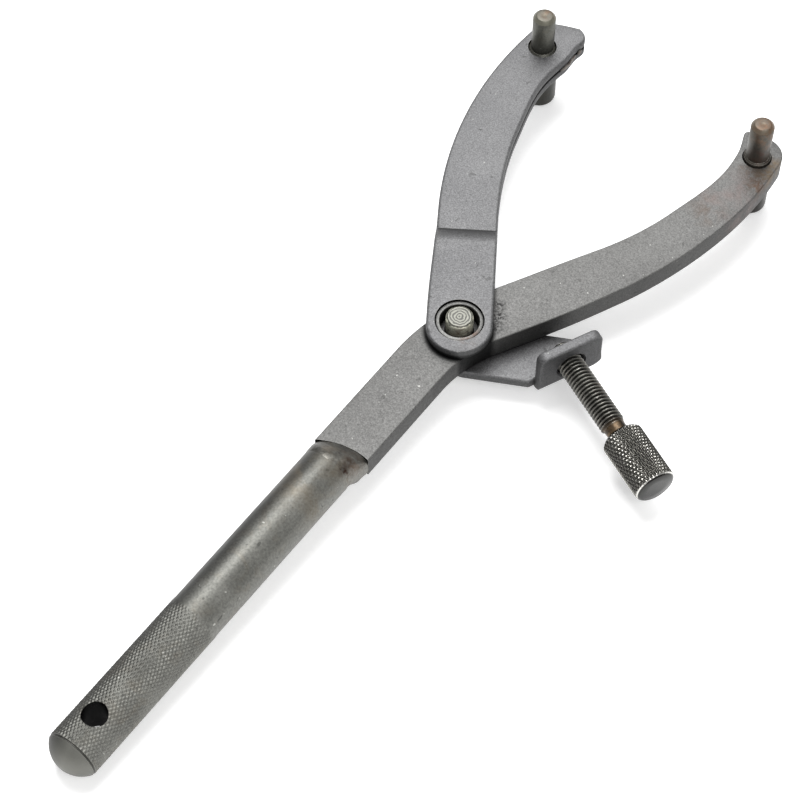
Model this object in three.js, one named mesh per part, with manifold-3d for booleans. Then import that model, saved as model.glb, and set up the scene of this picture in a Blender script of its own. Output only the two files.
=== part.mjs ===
// Adjustable two-peg spanner: a fixed arm welded to a knurled handle, a swinging arm made of two
// stepped plates on a hollow pivot, a peg in each tip and a thumbscrew that stops the opening.
// Millimetres, +Z up. The origin is on the pivot axis, at the pivot pin's lower end. +Y runs to the
// tips, the handle runs along -Y, and the fixed arm bows out to +X.
import * as THREE from 'three';
import { mergeVertices } from 'three/addons/utils/BufferGeometryUtils.js';
import Module from 'manifold-3d';

const wasm = await Module();
wasm.setup();

const RAD = Math.PI / 180;
const GAP = 0.3;

// ---- driving dimensions -------------------------------------------------------------------
const PIN_LENGTH = 19.2;
const MID = PIN_LENGTH / 2;        // height of the fixed arm's middle plane
const ARM_THICK = 8;
const ARM_WIDTH = 16.8;
const ARM_RADIUS = 115;            // both arms bow on this radius
const PLATE_THICK = 3.5;
const PLATE_ROUND = 0.9;           // rolled edge of the sheared plates

const HANDLE = { x: -1.9, z: MID + 2.05, r: 8, end: -179.8, tip: -59.6, knurlEnd: -125, taper: 3.2 };
const DOME = { r: 7.85, sphere: 9.1 };
const HANG_HOLE = { y: -164.6, r: 3.75 };

const FIXED = {
  start: -57.3, heading: 28.1, elbow: 55, turn: 37.2, waist: 1.6, cornerIn: 1.6, cornerOut: 7,
};
const SWING = {
  heading: -33.1, straight: 43.1, turn: 43.6, heelWidth: 20, waist: 1.4,
  cornerIn: 3.6, slant: 7, endWidth: 1.6,
};
const STEP = { from: 27.5, to: 37 };   // where the plates step in towards each other

// A peg has a thin end, a shank that stands in the arm's hole and a thick end below the arm.
const PEG = { tipR: 3.7, shankR: 4.25, thickR: 5.4, thin: 15, shank: 9.6, thick: 14.5, hole: 4.65 };
const FIXED_SEAT = { fromEnd: 8.5, out: -0.5, lift: 1.3 };
const SWING_SEAT = { fromEnd: 14.1, out: 1.6, lift: 0 };
const BUSH = { outer: 7.2, inner: 5.95, recess: 0.4 };
const PIN = { r: 4.2, webR: 5.65, webHalf: 2.6 };

const SCREW = { heading: -25, across: 24.2, r: 4, hole: 4.3 };
const FLANGE = { inner: 22, near: 13.6, far: 34.9, top: MID + 8.6, bend: 3.2, corner: 2.8 };
const THREAD = { tip: 18.4, end: 50.4 };
const NECK = { end: 54, r: 3.3 };
const KNOB = { length: 20, r: 6.5, socket: 8 };

const PLATE_UP = { pivot: MID + ARM_THICK / 2 + GAP, tip: MID + 0.15, heel: 11.6 };
const PLATE_DOWN = {
  pivot: MID - ARM_THICK / 2 - GAP - PLATE_THICK, tip: MID - 0.15 - PLATE_THICK, heel: 9.8,
};

// ---- paths --------------------------------------------------------------------------------
// A path is a start point, a heading in degrees from +Y towards +X, and pieces of a length and a
// turn. at(s) gives the point and the heading at a distance s along it.
function makePath(x0, y0, heading, pieces) {
  return (s) => {
    let x = x0;
    let y = y0;
    let h = heading * RAD;
    let left = s;
    for (const piece of pieces) {
      const last = piece === pieces[pieces.length - 1];
      const step = last ? left : Math.min(left, piece.length);
      const bend = (piece.turn * RAD) / piece.length;
      if (Math.abs(bend) < 1e-9) {
        x += step * Math.sin(h);
        y += step * Math.cos(h);
      } else {
        const to = h + bend * step;
        x += (Math.cos(h) - Math.cos(to)) / bend;
        y += (Math.sin(to) - Math.sin(h)) / bend;
        h = to;
      }
      left -= step;
      if (left <= 0) break;
    }
    return { x, y, h };
  };
}

const arcLength = (radius, degrees) => radius * degrees * RAD;

const elbowReach = FIXED.elbow * Math.tan((FIXED.heading / 2) * RAD);
const elbowCorner = HANDLE.x / Math.tan(FIXED.heading * RAD);
const elbowToPivot = Math.hypot(HANDLE.x, elbowCorner);
const armTangent = 50.8;
const fixedPieces = [
  { length: elbowCorner - elbowReach - FIXED.start, turn: 0 },
  { length: arcLength(FIXED.elbow, FIXED.heading), turn: FIXED.heading },
  { length: armTangent + elbowToPivot - elbowReach, turn: 0 },
  { length: arcLength(ARM_RADIUS, FIXED.turn), turn: -FIXED.turn },
];
const fixedPath = makePath(HANDLE.x, FIXED.start, 0, fixedPieces);
const fixedLength = fixedPieces.reduce((sum, piece) => sum + piece.length, 0);

// the swinging arm's path starts on the pivot axis; its heel lies at negative distances
const swingPieces = [
  { length: SWING.straight, turn: 0 },
  { length: arcLength(ARM_RADIUS, SWING.turn), turn: SWING.turn },
];
const swingPath = makePath(0, 0, SWING.heading, swingPieces);
const swingLength = swingPieces[0].length + swingPieces[1].length;

// ---- solids -------------------------------------------------------------------------------
function toSolid(geometry) {
  const bare = new THREE.BufferGeometry();
  bare.setAttribute('position', geometry.getAttribute('position').clone());
  if (geometry.index) bare.setIndex(geometry.index.clone());
  const merged = mergeVertices(bare, 1e-4);
  return new wasm.Manifold(new wasm.Mesh({
    numProp: 3,
    vertProperties: new Float32Array(merged.getAttribute('position').array),
    triVerts: new Uint32Array(merged.index.array),
  }));
}

function toGeometry(solid) {
  const mesh = solid.getMesh();
  const geometry = new THREE.BufferGeometry();
  geometry.setAttribute('position', new THREE.BufferAttribute(new Float32Array(mesh.vertProperties), 3));
  geometry.setIndex(new THREE.BufferAttribute(new Uint32Array(mesh.triVerts), 1));
  const flat = geometry.toNonIndexed();
  flat.computeVertexNormals();
  return flat;
}

// Rings of the same number of points, joined in order and closed at both ends. Seen from the
// first ring towards the last, each ring turns clockwise.
function loft(rings) {
  const count = rings[0].length;
  const positions = rings.flat(2);
  const index = [];
  for (let i = 0; i + 1 < rings.length; i += 1) {
    for (let j = 0; j < count; j += 1) {
      const a = i * count + j;
      const b = i * count + ((j + 1) % count);
      index.push(a, b + count, b, a, a + count, b + count);
    }
  }
  for (const [base, flip] of [[0, false], [(rings.length - 1) * count, true]]) {
    for (let j = 1; j + 1 < count; j += 1) {
      index.push(base, flip ? base + j + 1 : base + j, flip ? base + j : base + j + 1);
    }
  }
  const geometry = new THREE.BufferGeometry();
  geometry.setAttribute('position', new THREE.BufferAttribute(new Float32Array(positions), 3));
  geometry.setIndex(index);
  return geometry;
}

// A turned piece: the profile lists [radius, height] along +Z, from axis to axis.
function turned(profile, segments = 64) {
  const points = profile.map(([r, z]) => new THREE.Vector2(r, z));
  return new THREE.LatheGeometry(points, segments).rotateX(Math.PI / 2);
}

function rod(radius, from, to, segments = 48) {
  return toSolid(turned([[0, from], [radius, from], [radius, to], [0, to]], segments));
}

// Lays a piece turned along +Z down so that it runs along the heading.
function layAlong(geometry, heading, x, y, z) {
  geometry.rotateX(-Math.PI / 2);
  geometry.rotateZ(-heading * RAD);
  return geometry.translate(x, y, z);
}

// One cross-section of a flat bar: from left to right of the path, with rolled corners.
function barSection(point, left, right, low, high, round) {
  const ring = [];
  const r = Math.min(round, (left + right) / 2 - 0.05);
  const corners = [[right - r, high - round, 0], [-left + r, high - round, 90],
    [-left + r, low + round, 180], [right - r, low + round, 270]];
  for (const [across, up, start] of corners) {
    for (let k = 0; k <= 3; k += 1) {
      const a = (start + 30 * k) * RAD;
      const u = across + r * Math.cos(a);
      const z = up + round * Math.sin(a);
      ring.push([point.x + u * Math.cos(point.h), point.y - u * Math.sin(point.h), z]);
    }
  }
  return ring;
}

// Stations along a bar: close together where it starts, ends or steps, wider apart between.
function stations(length, startFine, endFine, marks, spacing) {
  const list = [];
  for (let k = 0; k <= 8; k += 1) {
    list.push(startFine * (1 - Math.cos((k / 8) * 90 * RAD)));
    list.push(length - endFine * (1 - Math.cos((k / 8) * 90 * RAD)));
  }
  for (let s = startFine + spacing; s < length - endFine; s += spacing) list.push(s);
  list.push(...marks);
  list.sort((a, b) => a - b);
  return list.filter((s, i) => i === 0 || s - list[i - 1] > 0.02);
}

// Half width near an end that has a rounded corner of radius r, at distance d from the end.
function corner(half, r, d) {
  if (d >= r) return half;
  return half - r + Math.sqrt(Math.max(0, r * r - (r - d) * (r - d)));
}

function smooth(t) {
  const c = Math.min(1, Math.max(0, t));
  return c * c * (3 - 2 * c);
}

// A smooth hump of height 1 at the middle, 0 beyond the reach on either side.
function hump(x, middle, reach) {
  return smooth(1 - Math.abs(x - middle) / reach);
}

// ---- handle and fixed arm -----------------------------------------------------------------
function handleRod() {
  const length = HANDLE.tip - HANDLE.end;
  const profile = [[0, 0]];
  for (let k = 1; k <= 7; k += 1) {
    const a = (Math.asin(DOME.r / DOME.sphere) * k) / 7;
    profile.push([DOME.sphere * Math.sin(a), DOME.sphere * (1 - Math.cos(a))]);
  }
  profile.push([HANDLE.r, profile[7][1] + 0.3]);
  profile.push([HANDLE.r, HANDLE.knurlEnd - HANDLE.end]);
  profile.push([HANDLE.r - 0.1, HANDLE.knurlEnd - HANDLE.end + 0.4]);
  profile.push([HANDLE.r - 0.1, length - HANDLE.taper]);
  profile.push([HANDLE.r - 3.6, length]);
  profile.push([0, length]);
  const body = toSolid(layAlong(turned(profile), 0, HANDLE.x, HANDLE.end, HANDLE.z));
  const hole = rod(HANG_HOLE.r, HANDLE.z - 10, HANDLE.z + 10).translate(HANDLE.x, HANG_HOLE.y, 0);
  return body.subtract(hole);
}

// The bar's end is cut by eye: it lies back at the left corner and bows a little.
function barEnd(x) {
  return FIXED.start + 3.9 - 0.0238 * (x - 2.5) ** 2;
}

// What is cut off the bar's end.
function barWaste() {
  const outline = [new THREE.Vector2(-12.5, FIXED.start - 6), new THREE.Vector2(9, FIXED.start - 6)];
  for (let k = 0; k <= 16; k += 1) {
    const x = 9 - (21.5 * k) / 16;
    outline.push(new THREE.Vector2(x, barEnd(x)));
  }
  const options = { depth: PIN_LENGTH, bevelEnabled: false };
  return toSolid(new THREE.ExtrudeGeometry(new THREE.Shape(outline), options));
}

// The arm narrows to a waist before its tip; d is the distance back from the tip's end.
function fixedArm() {
  const half = ARM_WIDTH / 2;
  const rings = stations(fixedLength, 1.2, FIXED.cornerOut, [], 3).map((s) => {
    const d = fixedLength - s;
    const slim = smooth((95 - d) / 55);
    const left = half - 0.8 * slim - FIXED.waist * hump(d, 19, 26) + smooth((10 - d) / 10);
    const right = half + 0.7 * hump(d, 100, 45) - 1.5 * slim;
    return barSection(fixedPath(s), corner(left, FIXED.cornerIn, d), corner(right, FIXED.cornerOut, d),
      MID - ARM_THICK / 2, MID + ARM_THICK / 2, 0.6);
  });
  const seat = seatOf(fixedPath, fixedLength, FIXED_SEAT, 1);
  return toSolid(loft(rings))
    .subtract(barWaste())
    .subtract(rod(BUSH.outer + GAP, 0, PIN_LENGTH, 64))
    .subtract(rod(PEG.hole, 0, PIN_LENGTH).translate(seat.x, seat.y, 0));
}

// The bead fills the V between the turned-down end of the handle and the end of the flat bar.
function handleWeld() {
  const from = HANDLE.tip - 2.7;
  const rings = [];
  for (let i = 0; i <= 12; i += 1) {
    const t = i / 12;
    const fall = t * t * (1.6 - 0.6 * t);
    const top = HANDLE.z + 7.55 + (MID + 3.9 - HANDLE.z - 7.55) * fall;
    const bottom = HANDLE.z - 7.55 + (MID - 4.6 - HANDLE.z + 7.55) * t;
    const across = 7.55 + 0.8 * smooth(t);
    const squareness = 1 - 0.5 * t;
    const ring = [];
    for (let k = 0; k < 32; k += 1) {
      const a = (k / 32) * 2 * Math.PI;
      const c = Math.cos(a);
      const sn = Math.sin(a);
      const x = HANDLE.x + across * Math.sign(c) * Math.pow(Math.abs(c), squareness);
      const up = Math.sign(sn) * Math.pow(Math.abs(sn), squareness);
      const end = barEnd(x) - GAP;
      ring.push([x, from + (end - from) * t, (top + bottom) / 2 + ((top - bottom) / 2) * up]);
    }
    rings.push(ring);
  }
  const length = HANDLE.tip - HANDLE.end;
  const clear = GAP / 2;
  const cone = [[0, 0], [HANDLE.r + clear, 0], [HANDLE.r + clear, length - HANDLE.taper],
    [HANDLE.r - 3.6 + clear, length + clear], [0, length + clear]];
  const handle = toSolid(layAlong(turned(cone), 0, HANDLE.x, HANDLE.end, HANDLE.z));
  return toSolid(loft(rings)).subtract(handle);
}

// Where a peg stands: back from the tip's end, and a little off the middle of the arm.
function seatOf(path, length, seat, side) {
  const at = path(length - seat.fromEnd);
  return {
    x: at.x + side * seat.out * Math.cos(at.h),
    y: at.y - side * seat.out * Math.sin(at.h),
  };
}

// A double-ended peg: thin end up, thick end down. Its middle sits loosely in the arm.
function peg(seat, shoulder) {
  const high = shoulder + PEG.thin;
  const under = shoulder - PEG.shank;
  const low = under - PEG.thick;
  const profile = [[0, low], [PEG.thickR - 1.5, low], [PEG.thickR - 0.44, low + 0.44],
    [PEG.thickR, low + 1.5], [PEG.thickR, under - 0.4], [PEG.thickR - 0.4, under],
    [PEG.shankR, under], [PEG.shankR, shoulder - 0.4], [PEG.shankR - 0.4, shoulder],
    [PEG.tipR, shoulder], [PEG.tipR, high - 1.1], [PEG.tipR - 1.1, high], [0, high]];
  return toSolid(turned(profile, 48)).translate(seat.x, seat.y, 0);
}

// ---- swinging arm -------------------------------------------------------------------------
function plateLow(levels, s) {
  const step = smooth((s - STEP.from) / (STEP.to - STEP.from));
  return levels.pivot + (levels.tip - levels.pivot) * Math.pow(step, 1.2);
}

// Half widths of a plate towards the inner edge and the outer edge, d back from the tip's end.
function plateHalves(s, heel) {
  const d = swingLength - s;
  const half = SWING.heelWidth / 2;
  const slim = 1.6 * smooth((s - 45) / 60) + 1.6 * smooth((14 - d) / 9);
  const inner = half - slim - SWING.waist * hump(d, 24.6, 24);
  const outer = half - 1.2 * smooth((s - 5) / 40);
  const cutBack = outer + inner - SWING.cornerIn - SWING.endWidth;
  const slanted = outer - cutBack * Math.max(0, 1 - d / SWING.slant) ** 1.25;
  const back = s + heel;
  const round = back < half ? Math.max(0.8, corner(half, half, back)) : half;
  return {
    inner: Math.min(round, corner(inner, SWING.cornerIn, d)),
    outer: Math.min(round, slanted),
  };
}

function swingPlate(levels) {
  const marks = [];
  for (let k = 0; k <= 12; k += 1) marks.push(STEP.from + ((STEP.to - STEP.from) * k) / 12);
  const shifted = marks.map((s) => s + levels.heel);
  const full = swingLength + levels.heel;
  const rings = stations(full, SWING.heelWidth / 2, SWING.slant, shifted, 3).map((t) => {
    const s = t - levels.heel;
    const halves = plateHalves(s, levels.heel);
    const low = plateLow(levels, s);
    return barSection(swingPath(s), halves.outer, halves.inner, low, low + PLATE_THICK, PLATE_ROUND);
  });
  const seat = seatOf(swingPath, swingLength, SWING_SEAT, -1);
  return toSolid(loft(rings))
    .subtract(rod(BUSH.outer + GAP, -1, PIN_LENGTH + 1, 64))
    .subtract(rod(PEG.hole, -1, PIN_LENGTH).translate(seat.x, seat.y, 0));
}

// The lower plate carries on past the pivot as a strip and turns up into a tapped flange.
// u runs out along the screw, v runs along the flange.
const screwDir = { x: Math.cos(SCREW.heading * RAD), y: Math.sin(SCREW.heading * RAD) };
const atScrew = (u, v) => [u * screwDir.x - v * screwDir.y, u * screwDir.y + v * screwDir.x];

function bracket() {
  const low = PLATE_DOWN.pivot;
  const middle = (FLANGE.near + FLANGE.far) / 2;
  const halfSpan = (FLANGE.far - FLANGE.near) / 2;
  const bendU = FLANGE.inner + PLATE_THICK - FLANGE.bend;
  const outline = [[7.6, -6.9], [bendU, FLANGE.near - 2], [bendU, FLANGE.far - 0.4],
    [17.5, FLANGE.far - 0.6], [11.2, 26.6], [-4, 7.6], [-4, -4]];
  const shape = new THREE.Shape(outline.map(([u, v]) => new THREE.Vector2(...atScrew(u, v))));
  const slab = new THREE.ExtrudeGeometry(shape, {
    depth: PLATE_THICK - 1, bevelEnabled: true, bevelThickness: 0.5, bevelSize: 0.5,
    bevelOffset: -0.5, bevelSegments: 2,
  }).translate(0, 0, low + 0.5);
  // the turned-up end, drawn across the flange as one L-shaped section with a round bend
  const section = [[bendU - 2, low], [bendU, low]];
  for (let k = 1; k <= 6; k += 1) {
    const a = (-90 + 15 * k) * RAD;
    section.push([bendU + FLANGE.bend * Math.cos(a), low + FLANGE.bend * (1 + Math.sin(a))]);
  }
  const outer = bendU + FLANGE.bend;
  section.push([outer, FLANGE.top - 0.6], [outer - 0.6, FLANGE.top], [FLANGE.inner + 0.6, FLANGE.top],
    [FLANGE.inner, FLANGE.top - 0.6], [FLANGE.inner, low + PLATE_THICK + 0.4],
    [FLANGE.inner - 0.4, low + PLATE_THICK], [bendU - 2, low + PLATE_THICK]);
  // rounded at both upper corners and at the lower corner away from the pivot
  const rings = [];
  for (let k = -8; k <= 8; k += 1) {
    const reach = halfSpan * Math.sin((k / 8) * 90 * RAD);
    const past = Math.abs(reach) - (halfSpan - FLANGE.corner);
    const round = Math.sqrt(FLANGE.corner ** 2 - Math.min(FLANGE.corner, Math.max(0, past)) ** 2);
    const drop = FLANGE.corner - round;
    const rise = reach > 0 ? drop : 0;
    rings.push(section.map(([u, z]) => {
      const top = z > FLANGE.top - 1 ? z - drop : z;
      return [...atScrew(u, middle + reach), top + rise * Math.max(0, 1 - (z - low) / 6)];
    }));
  }
  const holeGeometry = turned([[0, 0], [SCREW.hole, 0], [SCREW.hole, 12], [0, 12]], 48);
  const mouth = atScrew(FLANGE.inner - 4, SCREW.across);
  const hole = toSolid(layAlong(holeGeometry, 90 - SCREW.heading, mouth[0], mouth[1], MID));
  return toSolid(slab).add(toSolid(loft(rings))).subtract(hole);
}

function lowerPlate() {
  const bore = rod(BUSH.outer + GAP, -1, PIN_LENGTH + 1, 64);
  return swingPlate(PLATE_DOWN).add(bracket()).subtract(bore);
}

// A short run of weld in the groove between the two plates' rolled edges, on the inner edge of
// the tip. from and to are distances back from the tip's end.
function seamWeld(from, to) {
  const rings = [];
  for (let i = 0; i <= 12; i += 1) {
    const t = i / 12;
    const s = swingLength - to + (to - from) * t;
    const at = swingPath(s);
    const size = Math.pow(Math.sin(Math.PI * (0.08 + 0.84 * t)), 0.4);
    const reach = plateHalves(s, PLATE_UP.heel).inner + 0.4;
    const ring = [];
    for (let k = 0; k < 16; k += 1) {
      const a = (k / 16) * 2 * Math.PI;
      const across = reach + 0.45 * size * Math.cos(a);
      ring.push([at.x + across * Math.cos(at.h), at.y - across * Math.sin(at.h),
        MID + 0.85 * size * Math.sin(a)]);
    }
    rings.push(ring);
  }
  return toSolid(loft(rings));
}

// ---- pivot --------------------------------------------------------------------------------
function pivotBush() {
  const top = PLATE_UP.pivot + PLATE_THICK - BUSH.recess;
  const low = PIN_LENGTH - top;
  const profile = [[BUSH.inner, low + 0.3], [BUSH.inner + 0.3, low], [BUSH.outer - 0.3, low],
    [BUSH.outer, low + 0.3], [BUSH.outer, top - 0.3], [BUSH.outer - 0.3, top],
    [BUSH.inner + 0.3, top], [BUSH.inner, top - 0.3], [BUSH.inner, low + 0.3]];
  return toSolid(turned(profile));
}

function pivotPin() {
  const web = [[PIN.r, MID - PIN.webHalf], [PIN.webR, MID - PIN.webHalf],
    [PIN.webR, MID + PIN.webHalf], [PIN.r, MID + PIN.webHalf]];
  return toSolid(turned([[0, 0], [PIN.r - 0.7, 0], [PIN.r, 0.7], ...web,
    [PIN.r, PIN_LENGTH - 0.7], [PIN.r - 0.7, PIN_LENGTH], [0, PIN_LENGTH]]));
}

// ---- thumbscrew ---------------------------------------------------------------------------
function onScrew(profile, segments) {
  const [x, y] = atScrew(0, SCREW.across);
  return toSolid(layAlong(turned(profile, segments), 90 - SCREW.heading, x, y, MID));
}

function screwStud() {
  const inside = NECK.end + KNOB.socket - GAP;
  return onScrew([[0, THREAD.tip], [SCREW.r - 0.9, THREAD.tip], [SCREW.r, THREAD.tip + 0.9],
    [SCREW.r, THREAD.end], [NECK.r, THREAD.end + 0.7], [NECK.r, inside], [0, inside]], 48);
}

function screwKnob() {
  const from = NECK.end;
  const to = NECK.end + KNOB.length;
  return onScrew([[NECK.r + GAP, from], [KNOB.r - 1, from], [KNOB.r, from + 1], [KNOB.r, to - 1],
    [KNOB.r - 1, to], [0, to], [0, from + KNOB.socket], [NECK.r + GAP, from + KNOB.socket],
    [NECK.r + GAP, from]], 64);
}

// ---- assembly -----------------------------------------------------------------------------
function material(colour, roughness, metalness) {
  return new THREE.MeshStandardMaterial({ color: new THREE.Color(colour), roughness, metalness });
}

const armTop = MID + ARM_THICK / 2;
const tipTop = PLATE_UP.tip + PLATE_THICK;
const fixedSeat = seatOf(fixedPath, fixedLength, FIXED_SEAT, 1);
const swingSeat = seatOf(swingPath, swingLength, SWING_SEAT, -1);
const pieces = [
  ['handle_rod', handleRod(), material('#75766f', 0.42, 0.9)],
  ['handle_weld', handleWeld(), material('#6e6258', 0.6, 0.8)],
  ['fixed_arm', fixedArm(), material('#94938e', 0.62, 0.85)],
  ['fixed_peg', peg(fixedSeat, armTop + FIXED_SEAT.lift), material('#77746a', 0.45, 0.9)],
  ['swing_upper_plate', swingPlate(PLATE_UP), material('#98979a', 0.62, 0.85)],
  ['swing_lower_plate', lowerPlate(), material('#8f8e8d', 0.62, 0.85)],
  ['tip_weld_inner', seamWeld(7.2, 16), material('#77706a', 0.6, 0.8)],
  ['tip_weld_corner', seamWeld(4, 6), material('#77706b', 0.6, 0.8)],
  ['swing_peg', peg(swingSeat, tipTop + SWING_SEAT.lift), material('#77746b', 0.45, 0.9)],
  ['pivot_bush', pivotBush(), material('#86827b', 0.4, 0.9)],
  ['pivot_pin', pivotPin(), material('#8c8981', 0.38, 0.95)],
  ['screw_stud', screwStud(), material('#5d5a52', 0.4, 0.95)],
  ['screw_knob', screwKnob(), material('#54524c', 0.38, 0.95)],
];

const part = new THREE.Group();
part.name = 'two_peg_spanner';
for (const [name, solid, look] of pieces) {
  const mesh = new THREE.Mesh(toGeometry(solid), look);
  mesh.name = name;
  part.add(mesh);
}

export default part;
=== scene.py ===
# Adjustable two-peg spanner, bare steel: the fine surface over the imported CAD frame.
# Lengths below are millimetres in the CAD frame and become metres in mesh_object().
import math
import bpy
from mathutils import Matrix, Vector, noise


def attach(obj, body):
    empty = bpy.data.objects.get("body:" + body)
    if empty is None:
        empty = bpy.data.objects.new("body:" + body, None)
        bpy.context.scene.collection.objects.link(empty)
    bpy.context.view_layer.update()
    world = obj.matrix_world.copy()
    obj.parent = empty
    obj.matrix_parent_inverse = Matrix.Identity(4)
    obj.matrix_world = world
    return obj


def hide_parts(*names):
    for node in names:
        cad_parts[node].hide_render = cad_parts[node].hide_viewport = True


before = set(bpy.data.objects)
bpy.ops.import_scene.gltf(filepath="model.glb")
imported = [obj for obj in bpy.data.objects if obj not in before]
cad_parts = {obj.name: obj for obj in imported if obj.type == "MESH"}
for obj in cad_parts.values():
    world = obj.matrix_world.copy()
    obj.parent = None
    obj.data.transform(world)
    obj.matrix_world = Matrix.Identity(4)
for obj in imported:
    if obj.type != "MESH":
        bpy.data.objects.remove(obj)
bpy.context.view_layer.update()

MM = 0.001

# ---- driving dimensions, as in the CAD --------------------------------------------------------
PIN_LENGTH = 19.2
MID = PIN_LENGTH / 2       # height of the fixed arm's middle plane
GAP = 0.3                  # between neighbouring pieces
ARM_THICK = 8.0
ARM_WIDTH = 16.8
ARM_RADIUS = 115.0
ARM_TOP, ARM_LOW = MID + ARM_THICK / 2, MID - ARM_THICK / 2
PLATE, PLATE_ROUND = 3.5, 0.9
UPPER_HEEL, LOWER_HEEL, HEEL_HALF = 11.6, 9.8, 10.0
HANDLE_X, HANDLE_Z, HANDLE_R = -1.9, MID + 2.05, 8.0
HANDLE_END, HANDLE_TIP, KNURL_END = -179.8, -59.6, -125.0
DOME_R, DOME_SPHERE = 7.85, 9.1
HOLE_Y, HOLE_R = -164.6, 3.75
BAR_START, HEADING, ELBOW, FIXED_TURN = -57.3, 28.1, 55.0, 37.2
ARM_TANGENT, ARM_CORNER_IN, ARM_CORNER_OUT = 50.8, 1.6, 7.0
SWING_HEADING, SWING_STRAIGHT, SWING_TURN = -33.1, 43.1, 43.6
SLANT, TIP_CORNER, TIP_END = 7.0, 3.6, 1.6
STEP_FROM, STEP_TO = 29.5, 37.0
PEG_TIP_R, PEG_SHANK_R, PEG_THICK_R, PEG_HOLE = 3.7, 4.25, 5.4, 4.65
PEG_THIN, PEG_SHANK, PEG_THICK = 15.0, 9.6, 14.5
FIXED_LIFT = 1.3           # the fixed arm's peg stands this far proud of the arm
BUSH_OUT, BUSH_IN, BUSH_RECESS, PIN_R = 7.2, 5.95, 0.4, 4.2
SCREW_HEADING, SCREW_ACROSS, SCREW_HOLE, PITCH = -25.0, 24.2, 4.3, 1.25
FLANGE_IN, FLANGE_NEAR, FLANGE_FAR, FLANGE_TOP = 22.0, 13.6, 34.9, MID + 8.6
FLANGE_BEND, FLANGE_CORNER = 3.2, 2.8
THREAD_TIP, THREAD_END, NECK_END, KNOB_LENGTH, KNOB_R = 18.4, 50.4, 54.0, 20.0, 6.5
KNOB_END = NECK_END + KNOB_LENGTH
NECK_R = 3.3
PLATE_TIP_LOW = MID + GAP / 2
PLATE_PIVOT_LOW = ARM_TOP + GAP
LOWER_TIP_LOW = MID - GAP / 2 - PLATE
LOWER_PIVOT_LOW = ARM_LOW - GAP - PLATE


# ---- small maths ------------------------------------------------------------------------------
def smooth(t):
    c = min(1.0, max(0.0, t))
    return c * c * (3 - 2 * c)


def hump(x, middle, reach):
    return smooth(1 - abs(x - middle) / reach)


def corner(half, r, d):
    """Half width of a bar at distance d from an end whose corner is rounded to r."""
    if d >= r:
        return half
    return half - r + math.sqrt(max(0.0, r * r - (r - d) ** 2))


def make_path(x0, y0, heading, pieces):
    """Point and heading at a distance along straight and curved pieces of (length, turn)."""
    def at(s):
        x, y, h, left = x0, y0, math.radians(heading), s
        for i, (length, turn) in enumerate(pieces):
            step = left if i == len(pieces) - 1 else min(left, length)
            bend = math.radians(turn) / length
            if abs(bend) < 1e-9:
                x += step * math.sin(h)
                y += step * math.cos(h)
            else:
                to = h + bend * step
                x += (math.cos(h) - math.cos(to)) / bend
                y += (math.sin(to) - math.sin(h)) / bend
                h = to
            left -= step
            if left <= 0:
                break
        return x, y, h
    return at


elbow_reach = ELBOW * math.tan(math.radians(HEADING / 2))
elbow_corner = HANDLE_X / math.tan(math.radians(HEADING))
elbow_to_pivot = math.hypot(HANDLE_X, elbow_corner)
fixed_pieces = [
    (elbow_corner - elbow_reach - BAR_START, 0),
    (ELBOW * math.radians(HEADING), HEADING),
    (ARM_TANGENT + elbow_to_pivot - elbow_reach, 0),
    (ARM_RADIUS * math.radians(FIXED_TURN), -FIXED_TURN),
]
fixed_path = make_path(HANDLE_X, BAR_START, 0, fixed_pieces)
fixed_length = sum(length for length, _ in fixed_pieces)
swing_pieces = [(SWING_STRAIGHT, 0), (ARM_RADIUS * math.radians(SWING_TURN), SWING_TURN)]
swing_path = make_path(0, 0, SWING_HEADING, swing_pieces)
swing_length = sum(length for length, _ in swing_pieces)


def seat_of(path, length, from_end, out):
    """Where a peg stands: back from the tip's end, and off the middle of the arm."""
    x, y, h = path(length - from_end)
    return x + out * math.cos(h), y - out * math.sin(h)


FIXED_SEAT = seat_of(fixed_path, fixed_length, 8.5, -0.5)
SWING_SEAT = seat_of(swing_path, swing_length, 14.1, -1.6)
FIXED_TOP, SWING_TOP = ARM_TOP + FIXED_LIFT + PEG_THIN, PLATE_TIP_LOW + PLATE + PEG_THIN
SWING_WAY = (math.sin(math.radians(SWING_HEADING)), math.cos(math.radians(SWING_HEADING)), 0)
HEEL_BACK = UPPER_HEEL - HEEL_HALF
HEEL_CENTRE = (-HEEL_BACK * SWING_WAY[0], -HEEL_BACK * SWING_WAY[1])

screw_u = (math.cos(math.radians(SCREW_HEADING)), math.sin(math.radians(SCREW_HEADING)))


def at_screw(u, v):
    """A point u along the screw and v across it, in the frame."""
    return u * screw_u[0] - v * screw_u[1], u * screw_u[1] + v * screw_u[0]


# ---- meshes -----------------------------------------------------------------------------------
def mesh_object(name, points, faces, sharp=30.0):
    mesh = bpy.data.meshes.new(name)
    mesh.from_pydata([tuple(c * MM for c in p) for p in points], [], faces)
    mesh.validate()
    mesh.update()
    obj = bpy.data.objects.new(name, mesh)
    bpy.context.scene.collection.objects.link(obj)
    shade(obj, sharp)
    return obj


def shade(obj, sharp):
    for polygon in obj.data.polygons:
        polygon.use_smooth = True
    obj.data.set_sharp_from_angle(angle=math.radians(sharp))


def loft(name, rings, sharp=30.0, closed=True):
    """Rings that turn clockwise seen from the first towards the last, capped at both ends."""
    count = len(rings[0])
    points = [p for ring in rings for p in ring]
    faces = []
    for i in range(len(rings) - 1):
        for j in range(count):
            a, b = i * count + j, i * count + (j + 1) % count
            faces.append((a, a + count, b + count, b))
    if closed:
        faces.append(tuple(range(count)))
        faces.append(tuple(range(len(points) - 1, len(points) - 1 - count, -1)))
    return mesh_object(name, points, faces, sharp)


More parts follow.
